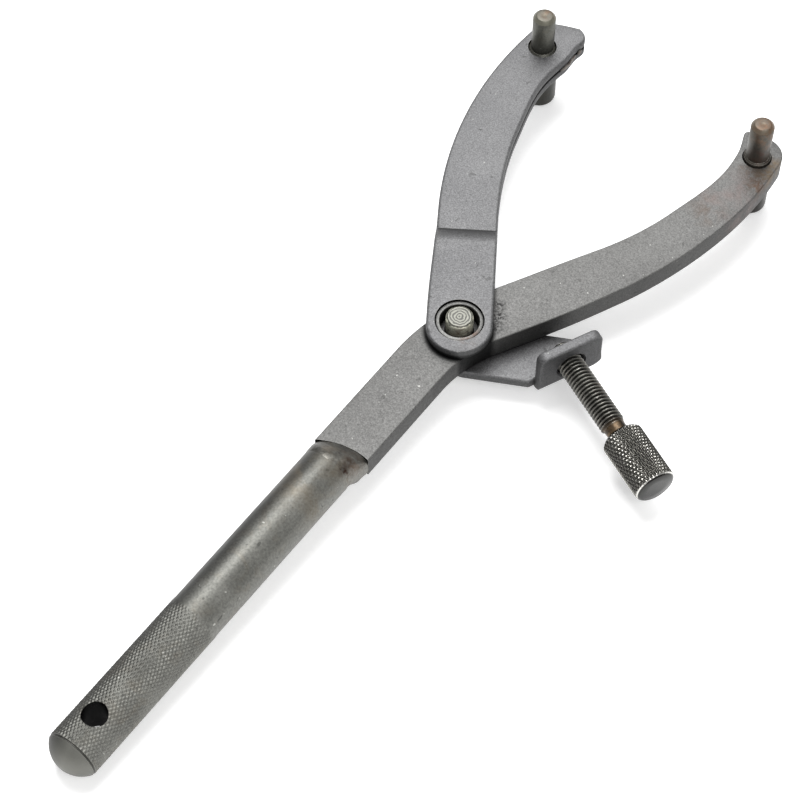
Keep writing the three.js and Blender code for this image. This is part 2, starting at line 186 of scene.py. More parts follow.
def turned(name, profile, place, segments=96, sharp=30.0, radius_at=None):
    """A turned piece. profile lists (radius, height); place maps a local point to the frame."""
    rings = []
    for r, z in profile:
        ring = []
        for k in range(segments):
            a = -2 * math.pi * k / segments
            rr = r if radius_at is None else radius_at(r, z, a)
            ring.append(place(rr * math.cos(a), rr * math.sin(a), z))
        rings.append(ring)
    return loft(name, rings, sharp)


def along_z(x, y):
    return lambda a, b, c: (x + a, y + b, c)


def along_y(x, z):
    return lambda a, b, c: (x - a, c, z + b)


def along_screw(a, b, c):
    x, y = at_screw(c, SCREW_ACROSS + a)
    return x, y, MID + b


def combine(obj, operation, others):
    """Applies each of the others to obj as a boolean, and removes it."""
    for other in others:
        modifier = obj.modifiers.new("combine", "BOOLEAN")
        modifier.operation = operation
        modifier.solver = "EXACT"
        modifier.object = other
        bpy.context.view_layer.update()
        graph = bpy.context.evaluated_depsgraph_get()
        mesh = bpy.data.meshes.new_from_object(obj.evaluated_get(graph))
        obj.modifiers.clear()
        obj.data = mesh
        bpy.data.objects.remove(other)


def cut(obj, *tools):
    combine(obj, "DIFFERENCE", tools)


def join(obj, *others):
    combine(obj, "UNION", others)


def drill(x, y, r, low, high):
    """A round cutter along +Z, from below low to above high."""
    return turned("cutter", [(r, low - 1), (r, high + 1)], along_z(x, y), 96)


def bar_section(point, left, right, low, high, round_):
    """Cross-section of a flat bar: left and right of the path, with rolled corners."""
    x, y, h = point
    r = min(round_, (left + right) / 2 - 0.05)
    corners = [(right - r, high - round_, 0), (-left + r, high - round_, 90),
               (-left + r, low + round_, 180), (right - r, low + round_, 270)]
    ring = []
    for across, up, start in corners:
        for k in range(6):
            a = math.radians(start + 18 * k)
            u = across + r * math.cos(a)
            ring.append((x + u * math.cos(h), y - u * math.sin(h), up + round_ * math.sin(a)))
    return ring


def stations(length, start_fine, end_fine, marks, spacing):
    """Distances along a bar: close together at its ends and marks, spaced out between."""
    found = list(marks)
    for k in range(15):
        ease = 1 - math.cos(math.radians(k / 14 * 90))
        found.append(start_fine * ease)
        found.append(length - end_fine * ease)
    s = start_fine + spacing
    while s < length - end_fine:
        found.append(s)
        s += spacing
    found.sort()
    kept = []
    for s in found:
        if not kept or s - kept[-1] > 0.02:
            kept.append(s)
    return kept


# ---- materials --------------------------------------------------------------------------------
class Nodes:
    """A little helper to write node trees in order."""

    def __init__(self, name):
        self.material = bpy.data.materials.new(name)
        self.material.use_nodes = True
        self.tree = self.material.node_tree
        self.shader = self.tree.nodes["Principled BSDF"]
        self.coords = self.tree.nodes.new("ShaderNodeTexCoord").outputs["Object"]

    def new(self, kind, **values):
        node = self.tree.nodes.new(kind)
        for key, value in values.items():
            setattr(node, key, value)
        return node

    def link(self, source, target):
        self.tree.links.new(source, target)

    def noise(self, scale, detail=4.0, rough=0.55, distortion=0.0, vector=None):
        node = self.new("ShaderNodeTexNoise")
        self.link(vector or self.coords, node.inputs["Vector"])
        node.inputs["Scale"].default_value = scale
        node.inputs["Detail"].default_value = detail
        node.inputs["Roughness"].default_value = rough
        node.inputs["Distortion"].default_value = distortion
        return node.outputs["Fac"]

    def ramp(self, value, stops):
        node = self.new("ShaderNodeValToRGB")
        self.link(value, node.inputs["Fac"])
        ramp = node.color_ramp
        while len(ramp.elements) < len(stops):
            ramp.elements.new(0.5)
        for element, (place, colour) in zip(ramp.elements, stops):
            element.position = place
            if isinstance(colour, (int, float)):
                colour = (colour, colour, colour)
            element.color = (*colour, 1)
        return node.outputs["Color"]

    def mix(self, factor, a, b, mode="MIX"):
        node = self.new("ShaderNodeMix", data_type="RGBA", blend_type=mode)
        sockets = (node.inputs["Factor"], node.inputs[6], node.inputs[7])
        for socket, value in zip(sockets, (factor, a, b)):
            if hasattr(value, "links"):
                self.link(value, socket)
            elif isinstance(value, (int, float)):
                socket.default_value = value
            else:
                socket.default_value = (*value, 1)
        return node.outputs[2]

    def math(self, operation, a, b=0.5, clamp=False):
        node = self.new("ShaderNodeMath", operation=operation, use_clamp=clamp)
        for socket, value in zip(node.inputs, (a, b)):
            if hasattr(value, "links"):
                self.link(value, socket)
            else:
                socket.default_value = value
        return node.outputs["Value"]

    def near(self, centre, inner, outer):
        """1 within inner of a point in millimetres, fading to 0 at outer.

        A centre of (x, y) stands for an upright line, so the mask is a cylinder."""
        node = self.new("ShaderNodeVectorMath", operation="DISTANCE")
        source = self.coords
        if len(centre) == 2:
            flat = self.new("ShaderNodeVectorMath", operation="MULTIPLY")
            self.link(self.coords, flat.inputs[0])
            flat.inputs[1].default_value = (1, 1, 0)
            source = flat.outputs["Vector"]
            centre = (*centre, 0)
        self.link(source, node.inputs[0])
        node.inputs[1].default_value = [c * MM for c in centre]
        span = self.new("ShaderNodeMapRange")
        self.link(node.outputs["Value"], span.inputs["Value"])
        span.inputs["From Min"].default_value = inner * MM
        span.inputs["From Max"].default_value = outer * MM
        span.inputs["To Min"].default_value = 1.0
        span.inputs["To Max"].default_value = 0.0
        return span.outputs["Result"]

    def from_axis(self, point, direction, inner, outer):
        """0 within inner of an axis and 1 beyond outer, in millimetres."""
        offset = self.new("ShaderNodeVectorMath", operation="SUBTRACT")
        self.link(self.coords, offset.inputs[0])
        offset.inputs[1].default_value = [c * MM for c in point]
        cross = self.new("ShaderNodeVectorMath", operation="CROSS_PRODUCT")
        self.link(offset.outputs["Vector"], cross.inputs[0])
        cross.inputs[1].default_value = direction
        length = self.new("ShaderNodeVectorMath", operation="LENGTH")
        self.link(cross.outputs["Vector"], length.inputs[0])
        span = self.new("ShaderNodeMapRange")
        self.link(length.outputs["Value"], span.inputs["Value"])
        span.inputs["From Min"].default_value = inner * MM
        span.inputs["From Max"].default_value = outer * MM
        return span.outputs["Result"]

    def facing(self, axis):
        """How far the surface faces along X, Y or Z, from -1 to 1."""
        geometry = self.new("ShaderNodeNewGeometry")
        split = self.new("ShaderNodeSeparateXYZ")
        self.link(geometry.outputs["Normal"], split.inputs[0])
        return split.outputs[axis]

    def painted_crevice_shade(self, reach, floor):
        """Painted shade: 1 in the open, falling to floor where other surfaces are within reach."""
        node = self.new("ShaderNodeAmbientOcclusion", samples=8)
        node.inputs["Distance"].default_value = reach * MM
        return self.ramp(node.outputs["AO"], [(0.25, floor), (0.75, 1.0)])

    def between(self, direction, start, end):
        """0 before start and 1 after end, in millimetres along a direction."""
        node = self.new("ShaderNodeVectorMath", operation="DOT_PRODUCT")
        self.link(self.coords, node.inputs[0])
        node.inputs[1].default_value = direction
        span = self.new("ShaderNodeMapRange")
        self.link(node.outputs["Value"], span.inputs["Value"])
        span.inputs["From Min"].default_value = start * MM
        span.inputs["From Max"].default_value = end * MM
        return span.outputs["Result"]

    def bump(self, height, strength, distance, below=None):
        node = self.new("ShaderNodeBump")
        self.link(height, node.inputs["Height"])
        node.inputs["Strength"].default_value = strength
        node.inputs["Distance"].default_value = distance * MM
        if below is not None:
            self.link(below, node.inputs["Normal"])
        return node.outputs["Normal"]

    def finish(self, colour, roughness, normal, metallic=1.0):
        self.link(colour, self.shader.inputs["Base Color"])
        if hasattr(roughness, "links"):
            self.link(roughness, self.shader.inputs["Roughness"])
        else:
            self.shader.inputs["Roughness"].default_value = roughness
        self.link(normal, self.shader.inputs["Normal"])
        self.shader.inputs["Metallic"].default_value = metallic
        return self.material


def worn_and_shining_edges(n, width, amount):
    """Bright edges, from the difference between bevelled and true normals: worn metal, and with large
    amounts a painted highlight.
    """
    bevel = n.new("ShaderNodeBevel", samples=4)
    bevel.inputs["Radius"].default_value = width * MM
    true = n.new("ShaderNodeNewGeometry")
    dot = n.new("ShaderNodeVectorMath", operation="DOT_PRODUCT")
    n.link(bevel.outputs["Normal"], dot.inputs[0])
    n.link(true.outputs["Normal"], dot.inputs[1])
    turned_away = n.math("SUBTRACT", 1.0, dot.outputs["Value"], clamp=True)
    return n.math("MULTIPLY", turned_away, amount, clamp=True)


def painted_side_shade(n, side):
    """Painted shade: 1 on flat tops and undersides, falling to the given factor on upright sides."""
    return n.ramp(n.math("ABSOLUTE", n.facing("Z")), [(0.1, side), (0.8, 1.0)])


def stain(n, colour, centre, inner, outer, tint, amount, scale=230):
    """A blotch of a tint round a point, broken up by noise."""
    patch = n.math("MULTIPLY", n.near(centre, inner, outer),
                   n.ramp(n.noise(scale, 5.0, 0.62, 0.4), [(0.40, 0.0), (0.62, amount)]))
    return n.mix(patch, colour, tint)


def heel_shadow(n, colour):
    """Painted shade under the upper plate's heel and in the slot between the two plates."""
    under = n.math("MULTIPLY", n.between((0, 0, 1), MID + 2, MID + 3),
                   n.between((0, 0, -1), -(PLATE_PIVOT_LOW + 1.9), -(PLATE_PIVOT_LOW + 0.9)))
    under = n.math("MULTIPLY", under, n.near(HEEL_CENTRE, 12.0, 20.0))
    slot = n.math("MULTIPLY", n.between((0, 0, 1), MID - 0.8, MID - 0.45),
                  n.between((0, 0, -1), -(MID + 0.8), -(MID + 0.45)))
    slot = n.math("MULTIPLY", slot, n.between(SWING_WAY, 20, 26))
    return n.mix(n.math("MAXIMUM", under, slot), colour, (0.004, 0.004, 0.004))


def blasted_steel(name, light, dark, side, stains=(), crease=None, shadow=None, reach=2.2):
    """Matt shot-blasted steel: pin-prick grain, soft mottling, pits, worn edges, painted sparkle,
    and painted shade on upright sides and in crevices.

    crease is the direction and the place where the plate steps down, with painted shade that
    darkens towards the step; shadow is the upright line, inner and outer radius of a ring of
    painted shadow; reach is how far the painted shade in crevices reaches."""
    n = Nodes(name)
    grain = n.noise(2400, 2.0, 0.6)
    fine = n.noise(1300, 3.0, 0.65)
    cloud = n.noise(45, 3.0, 0.5)
    colour = n.mix(n.ramp(cloud, [(0.3, 0.0), (0.7, 1.0)]), dark, light)
    colour = n.mix(0.5, colour, n.ramp(grain, [(0.34, 0.24), (0.5, 0.5), (0.66, 0.78)]), "OVERLAY")
    colour = n.mix(0.3, colour, n.ramp(fine, [(0.32, 0.3), (0.5, 0.5), (0.68, 0.72)]), "OVERLAY")
    pits = n.ramp(n.noise(430, 1.0, 0.5), [(0.71, 0.0), (0.76, 1.0)])
    colour = n.mix(n.math("MULTIPLY", pits, 0.4), colour, (0.03, 0.03, 0.028))
    # Painted sparkle: bright specks that stand in for glints of light.
    painted_sparkle = n.ramp(n.noise(760, 1.0, 0.5), [(0.77, 0.0), (0.80, 1.0)])
    colour = n.mix(n.math("MULTIPLY", painted_sparkle, 0.5), colour, (0.6, 0.6, 0.57))
    # Painted shade: upright sides darker than flat tops.
    colour = n.mix(1.0, colour, painted_side_shade(n, side), "MULTIPLY")
    # Painted shade in crevices and between parts.
    colour = n.mix(1.0, colour, n.painted_crevice_shade(reach, 0.06), "MULTIPLY")
    worn = n.math("MULTIPLY", worn_and_shining_edges(n, 0.45, 1.6),
                  n.ramp(n.noise(260, 3.0, 0.6), [(0.42, 0.0), (0.62, 0.8)]))
    colour = n.mix(worn, colour, (0.5, 0.49, 0.46))
    if crease:
        direction, place = crease
        # Painted shade on the step's slope, darkest at the crease.
        painted_step_shade = n.math("MULTIPLY", n.between(direction, place - 6.5, place - 0.3),
                          n.between(direction, place + 0.25, place - 0.05))
        colour = n.mix(n.math("MULTIPLY", painted_step_shade, 0.78), colour, (0.022, 0.022, 0.021))
        colour = heel_shadow(n, colour)
    if shadow:
        # Painted shadow: a black ring.
        colour = n.mix(n.near(*shadow), colour, SHADOW_BLACK)
    for blotch in stains:
        colour = stain(n, colour, *blotch)
    roughness = n.ramp(fine, [(0.3, 0.5), (0.7, 0.68)])
    normal = n.bump(n.mix(0.5, grain, fine), 0.35, 0.05)
    normal = n.bump(pits, 0.3, -0.06, normal)
    return n.finish(colour, roughness, normal, 0.75)


def bar_steel(name, light, dark, tint, rough=(0.34, 0.5), stains=(), metallic=0.85, wear_and_sheen=0.6,
              side=1.0, bore=None, rings=0.0, crests=None, well=False, caps=(), left=1.0, low=1.0):
    """Turned or drawn steel: smoother, with mottling, stains, small nicks and painted glints.

    bore is the centre and radius of an upright hole whose wall gets painted shade; rings is the
    strength of the turning marks round the pivot axis; crests is the axis of a knurl or thread, its
    root and crest radii and how strong the painted shade in its grooves and the painted sheen on its
    crests are; well paints shade on whatever lies down between the pivot pin and its bush; caps lists
    a direction, a place along it and the colour beyond that place; left and low paint shade on what
    faces -X and what lies below the arm."""
    n = Nodes(name)
    cloud = n.noise(80, 5.0, 0.6, 0.3)
    fine = n.noise(1400, 3.0, 0.6)
    colour = n.mix(n.ramp(cloud, [(0.36, 0.0), (0.64, 1.0)]), dark, light)
    blot = n.ramp(n.noise(150, 4.0, 0.6, 0.6), [(0.52, 0.0), (0.72, 0.5)])
    colour = n.mix(blot, colour, tint)
    colour = n.mix(0.45, colour, n.ramp(fine, [(0.3, 0.2), (0.5, 0.5), (0.7, 0.8)]), "OVERLAY")
    nicks = n.ramp(n.noise(480, 1.0, 0.5), [(0.72, 0.0), (0.76, 1.0)])
    colour = n.mix(n.math("MULTIPLY", nicks, 0.55), colour, (0.02, 0.02, 0.018))
    # Painted glints: bright specks that stand in for points of light.
    painted_glints = n.ramp(n.noise(620, 1.0, 0.5), [(0.75, 0.0), (0.79, 1.0)])
    colour = n.mix(n.math("MULTIPLY", painted_glints, 0.5), colour, (0.6, 0.6, 0.56))
    # Painted shade: upright sides darker than flat tops.
    if side < 1:
        colour = n.mix(1.0, colour, painted_side_shade(n, side), "MULTIPLY")
    if crests:
        point, direction, root, crest, groove, painted_crest_sheen = crests
        # Painted shade in the grooves and painted sheen on the crests of a knurl or thread.
        height = n.from_axis(point, direction, root, crest)
        colour = n.mix(1.0, colour, n.ramp(height, [(0.15, groove), (0.7, 1.0)]), "MULTIPLY")
        painted_shine = n.math("MULTIPLY", n.math("POWER", height, 4.0), painted_crest_sheen)
        colour = n.mix(painted_shine, colour, (0.62, 0.61, 0.57))
    for direction, place, cap in caps:
        shown = n.mix(n.ramp(cloud, [(0.36, 0.0), (0.64, 1.0)]), [c * 0.8 for c in cap], cap)
        colour = n.mix(n.between(direction, place, place + 0.08), colour, shown)
    if left < 1:
        # Painted shade: what faces -X is darker.
        across = n.math("ADD", n.math("MULTIPLY", n.facing("X"), 0.5), 0.5)
        colour = n.mix(1.0, colour, n.ramp(across, [(0.2, left), (0.55, 1.0)]), "MULTIPLY")
    if low < 1:
        # Painted shade on what lies below the arm.
        under_arm_shade = n.between((0, 0, -1), -(MID - 3.5), -(MID - 6))
        colour = n.mix(1.0, colour, n.ramp(under_arm_shade, [(0.0, 1.0), (1.0, low)]), "MULTIPLY")
    if rings:
        wave = n.new("ShaderNodeTexWave", wave_type="RINGS", rings_direction="Z")
        n.link(n.coords, wave.inputs["Vector"])
        wave.inputs["Scale"].default_value = 330
        wave.inputs["Distortion"].default_value = 5.0
        wave.inputs["Detail"].default_value = 3.0
        wave.inputs["Detail Scale"].default_value = 1.6
        marks = n.ramp(wave.outputs["Fac"], [(0.2, 0.12), (0.8, 0.9)])
        colour = n.mix(rings, colour, marks, "OVERLAY")
    # Bright edges: worn metal, and with the large amounts of pegs, pin and knob painted highlight.
    colour = n.mix(worn_and_shining_edges(n, 0.3, wear_and_sheen), colour, (0.62, 0.6, 0.54))
    if well:
        # Painted shade down between the pivot pin and its bush.
        below = n.between((0, 0, 1), MID + 5.0, MID + 3.0)
        above = n.between((0, 0, -1), -(MID - 5.0), -(MID - 3.0))
        colour = n.mix(n.math("MULTIPLY", below, above), colour, (0.012, 0.011, 0.01))
    if bore:
        centre, radius = bore
        # Painted shade: the hole's wall is coloured black and made less reflective.
        painted_bore_shade = n.near(centre, radius + 0.02, radius + 0.1)
        colour = n.mix(painted_bore_shade, colour, (0.002, 0.002, 0.002))
        n.link(n.math("MULTIPLY", n.math("SUBTRACT", 1.0, painted_bore_shade), 0.5),
               n.shader.inputs["Specular IOR Level"])
    for blotch in stains:
        colour = stain(n, colour, *blotch)
    roughness = n.ramp(cloud, [(0.3, rough[0]), (0.7, rough[1])])
    normal = n.bump(fine, 0.25, 0.035)
    normal = n.bump(nicks, 0.3, -0.06, normal)
    return n.finish(colour, roughness, normal, metallic)


def weld_metal(name):
    """Lumpy dark bead with reddish burnt spots."""
    n = Nodes(name)
    lumps = n.noise(420, 4.0, 0.6, 0.5)
    spots = n.noise(240, 3.0, 0.6)
    colour = n.ramp(lumps, [(0.3, (0.02, 0.017, 0.015)), (0.48, (0.085, 0.078, 0.07)),
                            (0.72, (0.2, 0.185, 0.165))])
    colour = n.mix(n.ramp(spots, [(0.45, 0.0), (0.65, 0.5)]), colour, (0.13, 0.075, 0.06))
    normal = n.bump(lumps, 0.5, 0.2)
    return n.finish(colour, n.ramp(spots, [(0.3, 0.4), (0.7, 0.65)]), normal, 0.7)


RUST, BROWN, SCORCH = (0.16, 0.07, 0.025), (0.09, 0.05, 0.028), (0.03, 0.014, 0.008)
# The first colour here is for painted shadow; PINK is a stain.
SHADOW_BLACK, PINK = (0.005, 0.005, 0.005), (0.2, 0.15, 0.14)
FX, FY = FIXED_SEAT
SX, SY = SWING_SEAT
SCREW_AXIS = (*at_screw(0, SCREW_ACROSS), MID)
SCREW_WAY = (*screw_u, 0)
# Fixed arm's steel: painted shade on upright sides and in crevices, painted shadow of the plate.
arm_material = blasted_steel(
    "fixed_arm_steel", (0.15, 0.149, 0.145), (0.117, 0.116, 0.113), 0.45,
    stains=[((FX + 6, FY - 2, ARM_TOP), 2.5, 6.5, (0.15, 0.105, 0.06), 0.9),
            ((FX + 6.5, FY - 9, ARM_TOP), 1.5, 6.0, BROWN, 0.9, 300),
            ((FX + 1, FY - 6, ARM_TOP), 1.0, 4.5, BROWN, 0.8, 300),
            ((FX + 2, FY - 18, MID), 3.0, 13.0, PINK, 0.6, 120),
            ((FX - 1, FY - 27, MID - 1), 2.0, 9.0, BROWN, 0.7),
            # Black marks beside the upper plate's edge: painted shadow, broken up by noise.
            ((8.9, 6.6, ARM_TOP), 1.0, 3.2, SHADOW_BLACK, 1.0, 1100),
            ((7.0, 10.2, ARM_TOP), 1.2, 3.4, SHADOW_BLACK, 1.0, 1100),
            ((5.0, 13.6, ARM_TOP), 1.0, 3.0, SHADOW_BLACK, 1.0, 1100)],
    # A ring of painted shadow on the arm round the upper plate's heel.
    shadow=(HEEL_CENTRE, 10.2, 11.5))
# Plates' steel: painted shade on upright sides, at the step, under the heel and in crevices.
plate_material = blasted_steel(
    "plate_steel", (0.168, 0.168, 0.17), (0.132, 0.132, 0.135), 0.45,
    stains=[((6.0, -5.5, MID + 8), 1.0, 4.0, BROWN, 0.3)],
    crease=(SWING_WAY, STEP_TO), reach=4.5)
# Handle steel: painted shade on what faces -X, in the knurl's grooves and in the hanging hole.
handle_material = bar_steel(
    "handle_steel", (0.165, 0.165, 0.15), (0.125, 0.125, 0.113), (0.125, 0.11, 0.085),
    rough=(0.4, 0.55),
    stains=[((HANDLE_X + 6.3, -62.4, HANDLE_Z + 4.5), 0.8, 2.8, SCORCH, 1.0, 420),
            ((HANDLE_X + 3, -72, HANDLE_Z + 8), 2.0, 16.0, (0.15, 0.12, 0.08), 0.5, 120)],
    metallic=0.55, bore=((HANDLE_X, HOLE_Y), HOLE_R),
    crests=((HANDLE_X, 0, HANDLE_Z), (0, 1, 0), HANDLE_R - 0.34, HANDLE_R - 0.05, 0.33, 0.0),
    caps=[((0, -1, 0), 175.25, (0.165, 0.165, 0.147))], left=0.2)
# Steel of the handle's joint: painted shade on what faces -X.
joint_material = bar_steel(
    "joint_steel", (0.19, 0.185, 0.168), (0.1, 0.096, 0.085), (0.13, 0.10, 0.065),
    rough=(0.36, 0.55), left=0.5,
    stains=[((HANDLE_X + 6.3, -62.4, HANDLE_Z + 4.5), 0.8, 2.8, SCORCH, 1.0, 420),
            ((HANDLE_X + 5.5, -59.6, HANDLE_Z + 5), 0.6, 2.4, SCORCH, 1.0, 420),
            ((HANDLE_X + 5, -58, HANDLE_Z + 3), 1.0, 5.0, BROWN, 0.9, 400),
            ((HANDLE_X - 1, -58.5, HANDLE_Z + 7), 0.5, 4.0, (0.2, 0.16, 0.11), 0.6, 400)])
# Fixed peg: painted shade below the arm; painted highlight on the chamfer band and, with wear, edges.
fixed_peg_material = bar_steel(
    "fixed_peg_steel", (0.07, 0.064, 0.053), (0.036, 0.033, 0.028), (0.065, 0.045, 0.027), wear_and_sheen=3.5,
    metallic=0.6, low=0.4,
    caps=[((0, 0, 1), FIXED_TOP - 1.2, (0.14, 0.115, 0.085)),
          ((0, 0, 1), FIXED_TOP - 0.06, (0.09, 0.07, 0.055))],
    stains=[((FX + 3.2, FY + 1, ARM_TOP + 14), 2.0, 8.5, RUST, 0.6, 420),
            ((FX, FY, ARM_TOP + 17), 1.0, 4.0, (0.12, 0.08, 0.055), 0.6, 420),
            ((FX + 2, FY - 2, ARM_TOP + 4), 1.0, 5.0, (0.07, 0.03, 0.022), 0.8, 420)])
# Swing peg: painted shade below the arm; painted highlight on the chamfer band and, with wear, edges.
swing_peg_material = bar_steel(
    "swing_peg_steel", (0.09, 0.09, 0.077), (0.046, 0.046, 0.038), (0.08, 0.068, 0.046), wear_and_sheen=3.5,
    metallic=0.6, low=0.4,
    caps=[((0, 0, 1), SWING_TOP - 1.2, (0.15, 0.145, 0.115)),
          ((0, 0, 1), SWING_TOP - 0.06, (0.1, 0.09, 0.075))],
    stains=[((SX + 1, SY + 1, PLATE_TIP_LOW + PLATE + 15), 1.0, 3.0, (0.12, 0.075, 0.045), 0.8, 420)])
# Bush: painted shade on its upright walls and down round the pin.
bush_material = bar_steel(
    "bush_steel", (0.115, 0.115, 0.112), (0.08, 0.08, 0.077), (0.09, 0.08, 0.065), side=0.3,
    stains=[((5.5, -2.5, MID + 6), 1.0, 4.5, (0.07, 0.028, 0.015), 0.9, 420)], well=True)
# Pin: painted light on its sides, painted shade on its top face and down round it.
pin_material = bar_steel(
    "pin_steel", (0.4, 0.4, 0.33), (0.27, 0.27, 0.22), (0.3, 0.26, 0.17), metallic=0.4, rings=0.8,
    caps=[((0, 0, 1), PIN_LENGTH - 0.3, (0.125, 0.125, 0.107))],
    wear_and_sheen=3.0, stains=[((3.0, -3.0, MID + 7), 0.5, 3.2, (0.07, 0.028, 0.015), 0.9, 420)],
    well=True)
# Stud: painted shade in the thread's roots and painted sheen on its crests.
thread_material = bar_steel(
    "thread_steel", (0.075, 0.073, 0.063), (0.014, 0.014, 0.012), (0.07, 0.05, 0.035),
    rough=(0.28, 0.42), wear_and_sheen=1.2, crests=(SCREW_AXIS, SCREW_WAY, 3.3, 3.98, 0.2, 0.16),
    stains=[((*at_screw(THREAD_END + 2, SCREW_ACROSS), MID), 2.0, 5.0, (0.24, 0.16, 0.09), 1.0)])
# Knob: painted shade in the grooves; painted highlight on crests, edges and the end chamfer ring.
knob_material = bar_steel(
    "knob_steel", (0.13, 0.128, 0.12), (0.06, 0.058, 0.054), (0.08, 0.072, 0.06), rough=(0.14, 0.26),
    metallic=0.95, wear_and_sheen=3.0,
    crests=(SCREW_AXIS, SCREW_WAY, KNOB_R - 0.42, KNOB_R, 0.07, 0.55),
    caps=[(SCREW_WAY, KNOB_END - 0.8, (0.62, 0.61, 0.58)),
          (SCREW_WAY, KNOB_END - 0.5, (0.04, 0.04, 0.038))])
weld_material = weld_metal("weld_metal")


def put(obj, material, body, slot, *nodes):
    """Gives a piece its material and its body, and hides the CAD nodes it stands for; slot is not
    used.
    """
    obj.data.materials.clear()
    obj.data.materials.append(material)
    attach(obj, body)
    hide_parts(*nodes)


# ---- handle -----------------------------------------------------------------------------------
def saw(t):
    """A wave from 0 to 1 and back with straight sides and a small flat on top."""
    t = abs((t % 1.0) * 2 - 1)
    return min(1.0, t * 1.25)


def knurl(angle, along, starts, slope):
    """Height of a diamond knurl from 0 in the grooves to 1 on the crests."""
    turn = angle / (2 * math.pi) * starts
    return min(saw(turn + along * slope), saw(turn - along * slope))


def build_handle():
    """The rod: domed end, knurled grip with a hanging hole, and a turned-down tip."""
    starts, depth = 46, 0.34
    slope = starts / (2 * math.pi * HANDLE_R) * math.tan(math.radians(30))
    dome_end = HANDLE_END + DOME_SPHERE * (1 - math.cos(math.asin(DOME_R / DOME_SPHERE)))
    profile = [(0.02, HANDLE_END)]
    for k in range(1, 15):
        a = math.asin(DOME_R / DOME_SPHERE) * k / 14
        profile.append((DOME_SPHERE * math.sin(a), HANDLE_END + DOME_SPHERE * (1 - math.cos(a))))
    profile.append((DOME_R - 0.28, dome_end + 0.25))
    profile.append((DOME_R - 0.28, dome_end + 0.45))
    y = dome_end + 0.7
    while y < KNURL_END + 1.5:
        profile.append((HANDLE_R, y))
        y += 0.19
    profile += [(HANDLE_R - 0.1, KNURL_END + 3), (HANDLE_R - 0.1, -100), (HANDLE_R - 0.1, -80)]
    profile += [(HANDLE_R - 0.1, HANDLE_TIP - 3.4), (HANDLE_R - 0.3, HANDLE_TIP - 2.9)]
    profile += [(HANDLE_R - 3.4, HANDLE_TIP - 0.2), (HANDLE_R - 3.7, HANDLE_TIP), (0.02, HANDLE_TIP)]

    def radius_at(r, y, a):
        if r < HANDLE_R - 0.05 or y > KNURL_END + 1.4:
            return r
        fade = smooth((KNURL_END + 1.2 - y) / 2.5) * smooth((y - dome_end - 0.3) / 0.8)
        worn = 0.75 + 0.25 * noise.noise(Vector((math.cos(a) * 1.4, math.sin(a) * 1.4, y * 0.1)))
        return r + 0.04 - depth * fade * worn * (1 - knurl(a, y, starts, slope))

    rod = turned("handle_rod_fine", profile, along_y(HANDLE_X, HANDLE_Z), 322, 40, radius_at)
    cut(rod, drill(HANDLE_X, HOLE_Y, HOLE_R, HANDLE_Z - 9, HANDLE_Z + 9))
    shade(rod, 40)
    put(rod, handle_material, "handle", "handle_steel", "handle_rod")


def bar_end(x):
    """The bar's end is cut by eye: it lies back at the left corner and bows a little."""
    return BAR_START + 3.9 - 0.0238 * (x - 2.5) ** 2


def build_handle_weld():
    """The bead fills the V between the turned-down tip and the end of the flat bar."""
    start = HANDLE_TIP - 3.6
    rings = []
    for i in range(61):
        t = i / 60
        fall = t * t * (1.6 - 0.6 * t)
        top = HANDLE_Z + 7.86 + (MID + 3.85 - HANDLE_Z - 7.86) * fall
        bottom = HANDLE_Z - 7.86 + (MID - 4.9 - HANDLE_Z + 7.86) * t
        across = 7.86 + 0.5 * smooth(t)
        squareness = 1 - 0.5 * t
        rough = math.sin(math.pi * min(1, 0.06 + t)) ** 0.5
        ring = []
        for k in range(128):
            a = 2 * math.pi * k / 128
            c, sn = math.cos(a), math.sin(a)
            lump = noise.noise(Vector((c * 1.7, sn * 1.7, t * 2.6)))
            fine = noise.noise(Vector((c * 6, sn * 6, t * 7 + 9)))
            side = smooth((c + 0.1) * 1.4) * smooth((0.5 - sn) * 1.2)
            swell = 1 + rough * (0.03 * lump + 0.012 * fine + side * (0.05 + 0.09 * lump))
            x = HANDLE_X + across * swell * math.copysign(abs(c) ** squareness, c)
            up = swell * math.copysign(abs(sn) ** squareness, sn)
            y = start + (bar_end(x) + 0.05 - start) * t
            ring.append((x, y, (top + bottom) / 2 + (top - bottom) / 2 * up))
        rings.append(ring)
    bead = loft("handle_weld_bead", rings, 60)
    put(bead, joint_material, "handle", "weld_metal", "handle_weld")


# ---- fixed arm --------------------------------------------------------------------------------
def bar_waste():
    """What is cut off the bar's end."""
    outline = [(-13, BAR_START - 6), (10, BAR_START - 6)]
    outline += [(10 - 23 * k / 48, bar_end(10 - 23 * k / 48)) for k in range(49)]
    rings = [[(x, y, z) for x, y in reversed(outline)] for z in (0, PIN_LENGTH)]
    return loft("cutter", rings)


def build_fixed_arm():
    """A flat bar that narrows to a waist before its rounded tip."""
    half = ARM_WIDTH / 2
    rings = []
    for s in stations(fixed_length, 1.2, ARM_CORNER_OUT, [], 1.5):
        d = fixed_length - s
        slim = smooth((95 - d) / 55)
        left = half - 0.8 * slim - 1.6 * hump(d, 19, 26) + smooth((10 - d) / 10)
        right = half + 0.7 * hump(d, 100, 45) - 1.5 * slim
        rings.append(bar_section(fixed_path(s), corner(left, ARM_CORNER_IN, d),
                                 corner(right, ARM_CORNER_OUT, d), ARM_LOW, ARM_TOP, 0.45))
    arm = loft("fixed_arm_fine", rings, 35)
    cut(arm, bar_waste(), drill(0, 0, BUSH_OUT + GAP, 0, PIN_LENGTH),
        drill(*FIXED_SEAT, PEG_HOLE, 0, PIN_LENGTH))
    shade(arm, 35)
    put(arm, arm_material, "handle", "bar_steel", "fixed_arm")


